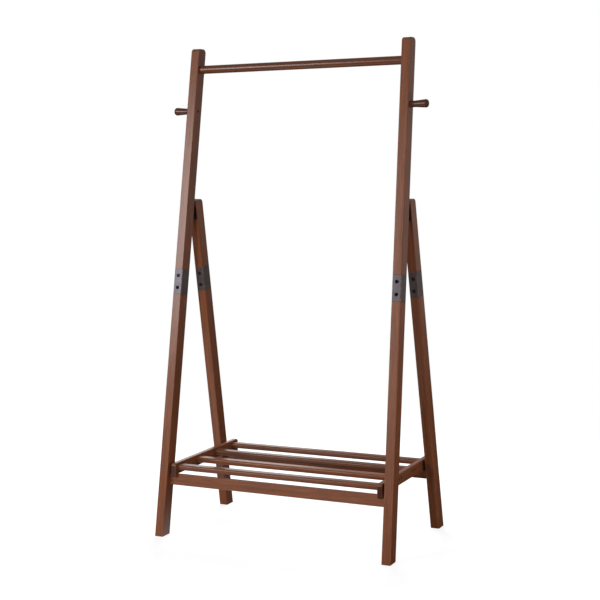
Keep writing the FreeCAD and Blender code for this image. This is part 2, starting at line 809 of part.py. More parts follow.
def check_document():
    """Stops if any object failed or any sub-part has no sound shape."""
    for thing in doc.Objects:
        if "Invalid" in thing.State or "Error" in thing.State:
            raise RuntimeError(f"{thing.Label} failed: {thing.State}")
    for piece in pieces:
        if piece.Shape.isNull() or not piece.Shape.isValid():
            raise RuntimeError(f"{piece.Label} has no sound shape")


def write_parts():
    """Writes each sub-part to a file named after it."""
    os.makedirs("parts", exist_ok=True)
    for piece in pieces:
        piece.Shape.exportStep(f"parts/{piece.Label}.step")
        print(piece.Label, len(piece.Shape.Solids), round(piece.Shape.Volume))


write_sizes()
derive_frame()
build_rack()
doc.recompute()
check_document()
write_parts()
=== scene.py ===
import logging
import math
from abc import ABC, abstractmethod
from collections.abc import Callable, Iterable, Sequence
from dataclasses import dataclass
from enum import Enum
from functools import cached_property
from itertools import count
from typing import Self

import bmesh
import bpy
from mathutils import Matrix, Vector


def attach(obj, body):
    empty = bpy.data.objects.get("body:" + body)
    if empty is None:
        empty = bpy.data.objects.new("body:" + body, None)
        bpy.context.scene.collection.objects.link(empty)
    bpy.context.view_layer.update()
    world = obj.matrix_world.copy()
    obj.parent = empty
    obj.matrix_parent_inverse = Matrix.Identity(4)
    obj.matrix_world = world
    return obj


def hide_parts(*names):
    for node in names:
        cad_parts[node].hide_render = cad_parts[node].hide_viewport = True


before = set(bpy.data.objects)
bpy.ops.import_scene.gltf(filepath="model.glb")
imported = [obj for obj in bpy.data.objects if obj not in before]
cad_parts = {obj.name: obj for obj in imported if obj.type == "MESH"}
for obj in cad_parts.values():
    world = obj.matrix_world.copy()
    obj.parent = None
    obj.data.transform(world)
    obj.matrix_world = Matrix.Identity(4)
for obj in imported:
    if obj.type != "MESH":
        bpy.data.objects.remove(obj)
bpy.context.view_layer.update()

# Looks of an a-frame clothes rack: stained wood, painted sleeves, dark screws and butt hinges.
# Sizes are in millimetres and degrees, in the axes of the part: +Z up, +Y to the back.

log = logging.getLogger("clothes_rack")
MM = 0.001
# Two verts this close, in millimetres, count as one height or one face
NEAR = 0.1
# Rise of a shoulder that is square to the eye, in millimetres
SQUARE_STEP = 0.01
# Place of a piece that is shaped where it belongs
HERE = Matrix.Identity(4)
# Attributes that a shaped piece carries: its place in the wood, its rounded edges, and how much
# deeper it took the stain
GRAIN, EDGE, STAIN = "grain", "edge", "stain"
# Numbers of the colour sockets of a mix node
MIX_A, MIX_B, MIX_OUT = 6, 7, 2
# The whole range of a share or a noise
WHOLE = (0.0, 1.0)
WHITE = "#ffffff"

Pair = tuple[float, float]
Triple = tuple[float, float, float]
Tree = bpy.types.NodeTree
Socket = bpy.types.NodeSocket
Material = bpy.types.Material
Edge, Face, Vert = bmesh.types.BMEdge, bmesh.types.BMFace, bmesh.types.BMVert


class Side(Enum):
    """The two sides of the rack, as signs along x."""

    LEFT = -1
    RIGHT = 1

    @property
    def word(self) -> str:
        """Name of the side as the nodes spell it."""
        return self.name.lower()


class Body(Enum):
    """The bodies that move against each other."""

    FRONT = "front_frame"
    REAR = "rear_frame"
    SHELF = "shelf"


class Role(Enum):
    """The two leaning frames."""

    FRONT = "front"
    REAR = "rear"

    @property
    def body(self) -> Body:
        """Body that the frame rides on."""
        return Body[self.name]


class Slot(Enum):
    """The finishes that can be repainted."""

    STAINED_WOOD = "stained_wood"
    PLAIN_WOOD = "plain_wood"
    BRONZE_SLEEVE = "bronze_sleeve"
    BLACK_SCREW = "black_screw"
    DARK_SCREW = "dark_screw"
    HINGE_STEEL = "hinge_steel"


class Drive(Enum):
    """Sockets in screw heads: number of lobes, and their depth as a share of the radius."""

    HEX = (6, 0.08)
    CROSS = (4, 0.42)


def linear(code: str) -> tuple[float, float, float, float]:
    """Turns a colour written as sRGB hex into linear light with an alpha of 1."""
    parts = [int(code[start : start + 2], 16) / 255 for start in (1, 3, 5)]
    # The numbers are those of the sRGB standard
    red, green, blue = (p / 12.92 if p <= 0.04045 else ((p + 0.055) / 1.055) ** 2.4 for p in parts)
    return red, green, blue, 1.0


def add(tree: Tree, kind: str, feeds: dict | None = None, **settings: object) -> bpy.types.Node:
    """Adds a node, sets its properties and feeds its sockets.

    Args:
        tree: Tree that gets the node.
        kind: Type name of the node.
        feeds: Socket name or number to a value, or to the output socket that feeds it.
        settings: Properties of the node itself.

    Returns:
        The new node.
    """
    node = tree.nodes.new(kind)
    for name, value in settings.items():
        setattr(node, name, value)
    for name, value in (feeds or {}).items():
        if isinstance(value, Socket):
            tree.links.new(value, node.inputs[name])
        else:
            node.inputs[name].default_value = value
    return node


def blank_tree(owner: Material | bpy.types.World) -> Tree:
    """Switches the nodes of a material or world on and empties their tree."""
    owner.use_nodes = True
    owner.node_tree.nodes.clear()
    return owner.node_tree


def attribute(tree: Tree, name: str, output: str = "Fac") -> Socket:
    """Reads an attribute of the mesh."""
    return add(tree, "ShaderNodeAttribute", attribute_name=name).outputs[output]


def reckon(tree: Tree, operation: str, *values: Socket) -> Socket:
    """Reckons with two or three values."""
    return add(tree, "ShaderNodeMath", dict(enumerate(values)), operation=operation).outputs[0]


def spread(tree: Tree, value: Socket, limits: Pair = WHOLE, goals: tuple = WHOLE) -> Socket:
    """Maps a value from its limits to two goals, each a number or a socket, and stops there."""
    names = ("Value", "From Min", "From Max", "To Min", "To Max")
    return add(tree, "ShaderNodeMapRange", dict(zip(names, (value, *limits, *goals)))).outputs[0]


def blend(tree: Tree, share: Socket, under: Socket | str, over: str) -> Socket:
    """Lays a colour over another one, given as hex or as a socket, by a share from 0 to 1."""
    colours = {MIX_A: linear(under) if isinstance(under, str) else under, MIX_B: linear(over)}
    return add(tree, "ShaderNodeMix", {0: share, **colours}, data_type="RGBA").outputs[MIX_OUT]


def at_edges(tree: Tree, share: Socket) -> Socket:
    """Keeps a share to the rounded edges of the mesh."""
    return reckon(tree, "MULTIPLY", attribute(tree, EDGE), share)


@dataclass(frozen=True)
class Relief:
    """Bump of a pattern: how strong, and how many millimetres high or, if sunk, deep."""

    strength: float
    depth: float
    sunk: bool = False

    def normal(self, tree: Tree, height: Socket) -> Socket:
        """Normal that follows a height from 0 to 1."""
        feeds = {"Height": height, "Strength": self.strength, "Distance": self.depth * MM}
        return add(tree, "ShaderNodeBump", feeds, invert=self.sunk).outputs[0]


@dataclass(frozen=True)
class Pattern:
    """Noise in a finish: about how many millimetres wide, how fine, and what share it covers."""

    size: float
    detail: float
    # Noise values between which the share grows, and the share at either of them
    limits: Pair = WHOLE
    shares: Pair = WHOLE
    # Share of the scale that is kept along each axis; a small one draws the pattern out
    stretch: Triple = (1.0, 1.0, 1.0)
    wander: float = 0.0

    def noise(self, tree: Tree, place: Socket) -> Socket:
        """Bare noise from 0 to 1, at coordinates in metres."""
        drawn = add(tree, "ShaderNodeVectorMath", {0: place, 1: self.stretch}, operation="MULTIPLY")
        shape = {"Scale": 1.0 / (self.size * MM), "Detail": self.detail, "Distortion": self.wander}
        return add(tree, "ShaderNodeTexNoise", {"Vector": drawn.outputs[0], **shape}).outputs["Fac"]

    def share(self, tree: Tree, noise: Socket) -> Socket:
        """Share that the pattern covers, from its noise."""
        return spread(tree, noise, self.limits, self.shares)


class Finish(ABC):
    """A finish of the rack."""

    name: str

    @abstractmethod
    def feeds(self, tree: Tree) -> dict[str, object]:
        """Builds the patterns of the finish, and returns what feeds the shader's sockets."""

    @cached_property
    def material(self) -> Material:
        """The material, built when it is first needed."""
        material = bpy.data.materials.new(self.name)
        tree = blank_tree(material)
        shader = add(tree, "ShaderNodeBsdfPrincipled", self.feeds(tree))
        add(tree, "ShaderNodeOutputMaterial", {"Surface": shader.outputs[0]})
        return material


@dataclass(frozen=True)
class StainedWood(Finish):
    """Rubberwood stained walnut brown and sprayed with satin lacquer.

    The stain leaves close, faint lines along the grain and darker open pores. The lacquer gives a
    soft sheen, and the rounded edges are painted paler, partly as lacquer rubbed thin and partly as
    a painted highlight.
    """

    name: str = "satin_lacquered_stained_rubberwood"
    early_wood: str = "#79452a"
    late_wood: str = "#63371f"
    pore: str = "#3c2011"
    blotch: str = "#6a3b22"
    # Paler colour of the rounded edges: partly lacquer rubbed thin, partly a painted highlight
    rubbed: str = "#8d5f47"
    deep: str = "#3c1f11"
    # Growth lines are really 1 to 3 mm apart, and drawn coarser so that some show from a distance
    lines: Pattern = Pattern(6.0, 3.0, (0.36, 0.64), stretch=(1.0, 1.0, 0.035), wander=0.8)
    # Pores are really about 0.3 mm wide, and drawn 0.9 mm wide for the same reason
    pores: Pattern = Pattern(0.9, 2.0, (0.56, 0.74), (0.0, 0.75), (1.0, 1.0, 0.022))
    pore_relief: Relief = Relief(0.35, 0.08, sunk=True)
    blotches: Pattern = Pattern(85.0, 2.0, (0.35, 0.7), (0.0, 0.6))
    # Patches along the rounded edges where the paler colour shows, as wear and as a painted
    # highlight
    rubbing: Pattern = Pattern(22.0, 4.0, (0.42, 0.68), (0.05, 0.4))
    roughness: Pair = (0.32, 0.42)
    ior: float = 1.5
    gloss: float = 0.08
    coat: float = 0.62
    coat_roughness: float = 0.27

    def feeds(self, tree: Tree) -> dict[str, object]:
        """Builds the wood on the grain, edge and stain attributes of each wooden piece."""
        grain = attribute(tree, GRAIN, "Vector")
        lines, pores, blotches, rubbing = (
            pattern.noise(tree, grain)
            for pattern in (self.lines, self.pores, self.blotches, self.rubbing)
        )
        pore_share = self.pores.share(tree, pores)
        # Rounded edges painted paler: partly rubbed lacquer, partly a painted highlight
        rub_share = at_edges(tree, self.rubbing.share(tree, rubbing))
        colour = blend(tree, self.lines.share(tree, lines), self.late_wood, self.early_wood)
        for share, shade in (
            (self.blotches.share(tree, blotches), self.blotch),
            (attribute(tree, STAIN), self.deep),
            (pore_share, self.pore),
            (rub_share, self.rubbed),
        ):
            colour = blend(tree, share, colour, shade)
        return {
            "Base Color": colour,
            "Roughness": spread(tree, blotches, goals=self.roughness),
            "Normal": self.pore_relief.normal(tree, pore_share),
            "IOR": self.ior,
            "Specular IOR Level": self.gloss,
            "Coat Weight": self.coat,
            "Coat Roughness": self.coat_roughness,
        }


@dataclass(frozen=True)
class PlainWood(Finish):
    """Bare beech, planed and left without lacquer: pale, dry and finely flecked."""

    name: str = "bare_beech"
    wood: str = "#c79a6c"
    fleck: str = "#a8764a"
    flecks: Pattern = Pattern(1.2, 3.0, stretch=(0.1, 1.0, 1.0))
    fleck_relief: Relief = Relief(0.3, 0.1)
    roughness: float = 0.7

    def feeds(self, tree: Tree) -> dict[str, object]:
        """Builds the wood on object coordinates, with the flecks drawn out along x."""
        flecks = self.flecks.noise(tree, add(tree, "ShaderNodeTexCoord").outputs["Object"])
        return {
            "Base Color": blend(tree, flecks, self.wood, self.fleck),
            "Roughness": self.roughness,
            "Normal": self.fleck_relief.normal(tree, flecks),
        }


@dataclass(frozen=True)
class CoatedSteel(Finish):
    """Steel with a thin coloured coat: metallic paint, black oxide, or blackened or browned.

    The coat is a little uneven in tone and gloss, with a fine grit, and where the piece carries an
    edge attribute the coat is rubbed towards the bare metal there.
    """

    name: str
    coat: str
    patch: str
    bare: str
    metallic: float
    roughness: Pair
    gloss: float = 0.5
    gloss_tint: str = WHITE
    # The patches are as wide as a fingertip
    patches: Pattern = Pattern(14.0, 4.0, (0.35, 0.65))
    rub_limits: Pair = (0.4, 0.62)
    rub_shares: Pair = (0.05, 0.7)
    # Sprayed paint has a grit of about 0.4 mm, drawn a little coarser
    grit: Pattern = Pattern(0.6, 2.0)
    grit_relief: Relief = Relief(0.3, 0.03)

    def feeds(self, tree: Tree) -> dict[str, object]:
        """Builds the coat on object coordinates and the edge attribute."""
        place = add(tree, "ShaderNodeTexCoord").outputs["Object"]
        patches = self.patches.noise(tree, place)
        rub_share = at_edges(tree, spread(tree, patches, self.rub_limits, self.rub_shares))
        colour = blend(tree, self.patches.share(tree, patches), self.coat, self.patch)
        return {
            "Base Color": blend(tree, rub_share, colour, self.bare),
            "Roughness": spread(tree, patches, goals=self.roughness),
            "Normal": self.grit_relief.normal(tree, self.grit.noise(tree, place)),
            "Metallic": self.metallic,
            "Specular IOR Level": self.gloss,
            "Specular Tint": linear(self.gloss_tint),
        }


FINISHES: dict[Slot, Finish] = {
    Slot.STAINED_WOOD: StainedWood(),
    Slot.PLAIN_WOOD: PlainWood(),
    # Brown metallic paint under a clear layer, which mirrors strongly and a little blue
    Slot.BRONZE_SLEEVE: CoatedSteel(
        "metallic_painted_steel", "#463a34", "#3c312c", "#7d7068", 0.0, (0.3, 0.4), 0.75, "#f2ebff"
    ),
    # Oiled black oxide, nearly black and half matt
    Slot.BLACK_SCREW: CoatedSteel(
        "black_oxide_steel", "#1a191b", "#121112", "#3a3838", 0.3, (0.45, 0.55), 0.3
    ),
    # Steel blackened by heat and oil, matt and a little brown
    Slot.DARK_SCREW: CoatedSteel(
        "blackened_steel", "#241913", "#19110d", "#5c4a3b", 0.2, (0.5, 0.6), 0.12
    ),
    # Browned sheet steel, still a metal to the eye
    Slot.HINGE_STEEL: CoatedSteel(
        "browned_steel", "#4a423c", "#37302b", "#8d857c", 0.9, (0.36, 0.5)
    ),
}
# Turned pieces are sanded on the lathe, and their lacquer is smoother
TURNED_WOOD = StainedWood("satin_lacquered_turned_rubberwood", coat=0.66, coat_roughness=0.22)


def turn(axis: str, degrees: float) -> Matrix:
    """Matrix of a turn about one axis."""
    return Matrix.Rotation(math.radians(degrees), 4, axis)


def move(x: float = 0.0, y: float = 0.0, z: float = 0.0) -> Matrix:
    """Matrix of a shift."""
    return Matrix.Translation((x, y, z))


def settle(mesh: bmesh.types.BMesh, name: str) -> bpy.types.Mesh:
    """Turns a mesh in the making into one of the scene's, and frees it."""
    data = bpy.data.meshes.new(name)
    mesh.to_mesh(data)
    mesh.free()
    return data


def put(name: str, data: bpy.types.ID) -> bpy.types.Object:
    """Adds an object to the scene."""
    item = bpy.data.objects.new(name, data)
    bpy.context.scene.collection.objects.link(item)
    return item


@dataclass(frozen=True)
class Stance:
    """The two leaning planes that carry everything, and the timbers' places in them."""

    base_depth: float = 505.0
    foot_spacing: float = 826.6
    front_lean: float = 9.3
    splay: float = 0.92
    width: float = 31.0
    depth: float = 47.0
    post_length: float = 1672.0
    hinge_station: float = 1142.0
    pin_offset: float = 4.2

    @cached_property
    def slope(self) -> float:
        """How far a timber comes in for each millimetre of its height."""
        return math.tan(math.radians(self.splay))

    @cached_property
    def pin(self) -> Vector:
        """The hinge line, in the plane x = 0."""
        back = self.depth / 2 + self.pin_offset
        return self.plane(Role.FRONT) @ Vector((0.0, back, self.hinge_station))

    @cached_property
    def rear_lean(self) -> float:
        """Lean of the legs, whose heels stand at the back of the base."""
        reach = self.base_depth / 2 - self.pin.y
        whole = math.atan2(reach, self.pin.z)
        part = math.asin((self.pin_offset + self.depth) / math.hypot(reach, self.pin.z))
        return math.degrees(whole - part)

    @cached_property
    def hinge_half(self) -> float:
        """Half the distance between the two hinges."""
        return self.foot_spacing / 2 - self.hinge_station * self.slope

    def pin_station(self, role: Role) -> float:
        """Height of the hinge line along a timber."""
        if role is Role.FRONT:
            return self.hinge_station
        return (self.plane(role).inverted() @ self.pin).z

    def half(self, role: Role) -> float:
        """Half the distance between the middles of two feet."""
        return self.hinge_half + self.pin_station(role) * self.slope

    def inner(self, role: Role, station: float) -> float:
        """Distance from the middle to a timber's inner face at a station."""
        face = self.width / 2 / math.cos(math.radians(self.splay))
        return self.half(role) - face - station * self.slope

    def plane(self, role: Role) -> Matrix:
        """Place of a leaning plane, with its origin where the timbers' middles meet the floor."""
        lean = -self.front_lean if role is Role.FRONT else self.rear_lean
        foot = self.base_depth / 2 - self.depth / 2 / math.cos(math.radians(lean))
        return move(y=math.copysign(foot, lean)) @ turn("X", lean)

    def in_plane(self, role: Role, side: Side) -> Matrix:
        """Place of a timber in its plane."""
        return move(side.value * self.half(role)) @ turn("Y", -side.value * self.splay)

    def timber(self, role: Role, side: Side) -> Matrix:
        """Place of a timber in the rack."""
        return self.plane(role) @ self.in_plane(role, side)


def dress(node: str, slot: Slot) -> None:
    """Gives a node that keeps its own shape the finish of a slot."""
    finish = FINISHES[slot]
    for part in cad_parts[node].material_slots:
        part.material = finish.material
    log.info("%s keeps its shape and is dressed in %s", node, finish.name)


class Workpiece:
    """A mesh on the bench: shaped in millimetres in its own axes, with its length along z."""

    # A face whose normal comes this close to an axis is flat, and no rounded edge
    flat_limit = 0.999
    # End grain drinks the most stain
    end_grain = 1.0
    # Two pieces of neighbouring seeds lie this far apart in the wood, in metres
    grain_step = Vector((0.731, 0.377, 1.913))
    sharp_angle = 32.0
    round_steps = 4
    # Verts this close are merged, or lie on the plane of a cut
    merge_distance = 1e-4
    plane_distance = 1e-5
    # A socket's floor is narrower than its mouth by this share of the radius
    socket_draft = 0.35
    # A finish of its own, in place of the slot's
    special: Finish | None = None

    def __init__(self) -> None:
        """Starts with an empty mesh."""
        self.mesh = bmesh.new()
        self.end: Face | None = None
        self.start: Face | None = None

    @classmethod
    def bar(cls, width: float, depth: float, bottom: float, radius: float) -> Self:
        """Starts a bar from its section, wide along x and deep along y, with rounded corners."""
        piece = cls()
        sheet = {"x_segments": 1, "y_segments": 1, "size": 0.5}
        section = move(z=bottom) @ Matrix.Diagonal((width, depth, 1.0, 1.0))
        corners = bmesh.ops.create_grid(piece.mesh, **sheet, matrix=section)["verts"]
        piece.bevel(corners, radius, cls.round_steps, "VERTICES")
        return piece.begin()

    @classmethod
    def disc(cls, radius: float, steps: int) -> Self:
        """Starts from a round face."""
        piece = cls()
        bmesh.ops.create_circle(piece.mesh, cap_ends=True, radius=radius, segments=steps)
        return piece.begin()

    @classmethod
    def board(cls, outline: Sequence[Pair], thickness: float, start: float = 0.0) -> Self:
        """Starts a board from its outline in y and z, with its thickness along x from a start."""
        piece = cls()
        corners = [piece.mesh.verts.new((start, across, up)) for across, up in outline]
        piece.end = piece.mesh.faces.new(corners)
        bmesh.ops.translate(piece.mesh, vec=(thickness, 0.0, 0.0), verts=piece.raise_end())
        return piece.outward()

    @classmethod
    def turned(cls, profile: Sequence[Pair], steps: int) -> Self:
        """Turns an outline, given as radius and height from axis to axis, about z."""
        piece = cls()
        piece.special = TURNED_WOOD
        points = [piece.mesh.verts.new((radius, 0.0, height)) for radius, height in profile]
        lines = [piece.mesh.edges.new(pair) for pair in zip(points, points[1:])]
        bmesh.ops.spin(
            piece.mesh,
            geom=points + lines,
            cent=(0.0, 0.0, 0.0),
            axis=(0.0, 0.0, 1.0),
            angle=math.tau,
            steps=steps,
            use_merge=True,
        )
        bmesh.ops.remove_doubles(piece.mesh, verts=piece.mesh.verts[:], dist=cls.merge_distance)
        return piece.outward()

    def begin(self) -> Self:
        """Takes the only face as both ends."""
        self.mesh.faces.ensure_lookup_table()
        self.start = self.end = self.mesh.faces[0]
        return self

    def outward(self) -> Self:
        """Turns all faces outwards."""
        bmesh.ops.recalc_face_normals(self.mesh, faces=self.mesh.faces[:])
        return self

    def raise_end(self) -> list[Vert]:
        """Doubles the end, and returns the verts of the new one, ready to be moved."""
        raised = bmesh.ops.extrude_face_region(self.mesh, geom=[self.end])["geom"]
        self.end = next(item for item in raised if isinstance(item, Face))
        return [item for item in raised if isinstance(item, Vert)]

    def extrude(self, rise: float, shrink: float = 0.0) -> Self:
        """Extrudes the end along z, and draws it in by a distance on each side."""
        if self.start is self.end and rise > 0:
            bmesh.ops.reverse_faces(self.mesh, faces=[self.end])
        verts = self.raise_end()
        bmesh.ops.translate(self.mesh, vec=(0.0, 0.0, rise), verts=verts)
        reach = [max(abs(vert.co[axis]) for vert in verts) for axis in (0, 1)]
        factors = [(size - shrink) / size for size in reach]
        bmesh.ops.scale(self.mesh, vec=(*factors, 1.0), verts=verts)
        return self

    def dome(self, radius: float, steps: int) -> Self:
        """Rounds the end over to a radius, in rising, narrowing steps."""
        angles = [math.pi / 2 * step / steps for step in range(steps + 1)]
        for before, after in zip(angles, angles[1:]):
            rise = radius * (math.sin(after) - math.sin(before))
            self.extrude(rise, radius * (math.cos(before) - math.cos(after)))
        return self

    def cut(self, at: Vector, away: Vector) -> Face:
        """Saws off what lies past a plane, closes the cut and returns its face."""
        made = bmesh.ops.bisect_plane(
            self.mesh,
            geom=self.mesh.verts[:] + self.mesh.edges[:] + self.mesh.faces[:],
            dist=self.plane_distance,
            plane_co=at,
            plane_no=away,
            clear_outer=True,
        )["geom_cut"]
        rim = [item for item in made if isinstance(item, Edge)]
        face = bmesh.ops.contextual_create(self.mesh, geom=rim)["faces"][0]
        self.outward()
        return face

    def bevel(self, parts: Iterable, radius: float, steps: int, kind: str = "EDGES") -> None:
        """Rounds edges, or the corners of a flat face, to a radius in so many steps."""
        shape = {"offset": radius, "offset_type": "OFFSET", "segments": steps, "affect": kind}
        bmesh.ops.bevel(self.mesh, geom=list(parts), **shape, profile=0.5, material=-1)

    @staticmethod
    def runs_across(edge: Edge) -> bool:
        """Whether an edge runs along x."""
        return abs(edge.verts[0].co.x - edge.verts[1].co.x) > NEAR

    def sharp_edges(self, chosen: Callable[[Edge], bool]) -> list[Edge]:
        """Edges with a clear corner that also pass a test."""
        limit = math.radians(self.sharp_angle)
        closed = (edge for edge in self.mesh.edges if edge.is_manifold)
        return [edge for edge in closed if edge.calc_face_angle(0.0) > limit and chosen(edge)]

    def ring(self, height: float) -> list[Edge]:
        """Edges that run round a turned piece at one height."""
        round_axis = (vert for vert in self.mesh.verts if vert.co.xy.length > NEAR)
        level = {vert for vert in round_axis if abs(vert.co.z - height) < NEAR}
        return [edge for edge in self.mesh.edges if level.issuperset(edge.verts)]

    def socket(self, drive: Drive, radius: float, depth: float) -> None:
        """Sinks a driver's socket, given by its middle radius and depth, into the end face."""
        lobes, share = drive.value
        reach = max(vert.co.xy.length for vert in self.end.verts)
        bmesh.ops.inset_individual(self.mesh, faces=[self.end], thickness=(reach - radius) / 2)
        for vert in self.end.verts:
            angle = math.atan2(vert.co.y, vert.co.x)
            distance = radius * (1.0 + share * math.cos(lobes * angle))
            vert.co.xy = Vector((math.cos(angle), math.sin(angle))) * distance
        self.extrude(-depth, radius * self.socket_draft)

    def mark(self, seed: int, worn: bool = True, stain: float = 0.0) -> Self:
        """Writes the place in the wood, the rounded edges and the depth of the stain to the mesh.

        Args:
            seed: Number of the piece, which shifts its grain away from that of the others.
            worn: Whether the faces between the flat ones are edges that rub off; on wood their
                paler colour is also a painted highlight.
            stain: How much deeper than the rest the piece is stained, from 0 to 1.
        """
        grain = self.mesh.verts.layers.float_vector.new(GRAIN)
        edge = self.mesh.verts.layers.float.new(EDGE)
        depth = self.mesh.loops.layers.float.new(STAIN)
        shift = self.grain_step * seed
        self.mesh.normal_update()
        for vert in self.mesh.verts:
            vert[grain] = vert.co * MM + shift
            steepest = max((max(map(abs, face.normal)) for face in vert.link_faces), default=0.0)
            vert[edge] = float(worn and steepest <= self.flat_limit)
        for face in self.mesh.faces:
            for corner in face.loops:
                corner[depth] = stain + (self.end_grain - stain) * face.normal.z**2
        return self

    def deliver(self, node: str, body: Body, slot: Slot, home: Matrix = HERE) -> None:
        """Puts the workpiece in its place, makes it an object and hands it over.

        Args:
            node: Node that the piece stands for, which also names it.
            body: Body that it rides on.
            slot: Slot that it takes its finish from.
            home: Place of the workpiece in the rack, in millimetres.
        """
        self.mesh.transform(Matrix.Scale(MM, 4) @ home)
        self.outward()
        for face in self.mesh.faces:
            face.smooth = True
        name = f"{'wood' if slot is Slot.STAINED_WOOD else 'steel'}_{node}"
        data = settle(self.mesh, name)
        data.set_sharp_from_angle(angle=math.radians(self.sharp_angle))
        data.materials.append((self.special or FINISHES[slot]).material)
        piece = put(name, data)
        piece.modifiers.new("flat_faces", "WEIGHTED_NORMAL").keep_sharp = True
        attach(piece, body.value)
        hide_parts(node)
        log.info("%s rides on %s and stands for %s", name, body.value, node)


@dataclass(frozen=True)
class Screw:
    """A screw whose head rests at its own origin, with its point below."""

    head: float
    shank: float
    length: float
    drive: Drive
    socket_radius: float
    socket_depth: float
    # Height of a domed head, and the part of it that is rounded; 0 for a flush head
    height: float = 0.0
    dome: float = 0.0
    dome_steps: int = 4
    # A flush head stands this far proud, so that it shows on a surface that isn't drilled
    proud: float = 0.3
    proud_steps: int = 2
    # How far the point is drawn in on each side, as a share of the shank
    point_draw: float = 0.45
    # Each screw of a row stops at another angle
    turn_step: float = 37.0
    steps: int = 32

    def shape(self) -> Workpiece:
        """Builds one screw."""
        piece = Workpiece.disc(self.head / 2, self.steps)
        base = piece.end
        if self.height:
            piece.extrude(self.height - self.dome).dome(self.dome, self.dome_steps)
        else:
            piece.dome(self.proud, self.proud_steps)
        piece.socket(self.drive, self.socket_radius, self.socket_depth)
        piece.end = base
        taper = (self.head - self.shank) / 2
        piece.extrude(-SQUARE_STEP if self.height else -taper, taper)
        piece.extrude(taper - self.length)
        return piece.extrude(-self.shank / 2, self.shank * self.point_draw)

    def drive_in(self, places: Sequence[Matrix]) -> Workpiece:
        """Copies the screw to the places of several heads, all in one workpiece."""
        single = settle(self.shape().mark(0).mesh, "screw")
        row = Workpiece()
        for number, place in enumerate(places):
            first = len(row.mesh.verts)
            row.mesh.from_mesh(single)
            row.mesh.verts.ensure_lookup_table()
            stop = place @ turn("Z", self.turn_step * number)
            bmesh.ops.transform(row.mesh, matrix=stop, verts=row.mesh.verts[first:])
        bpy.data.meshes.remove(single)
        return row


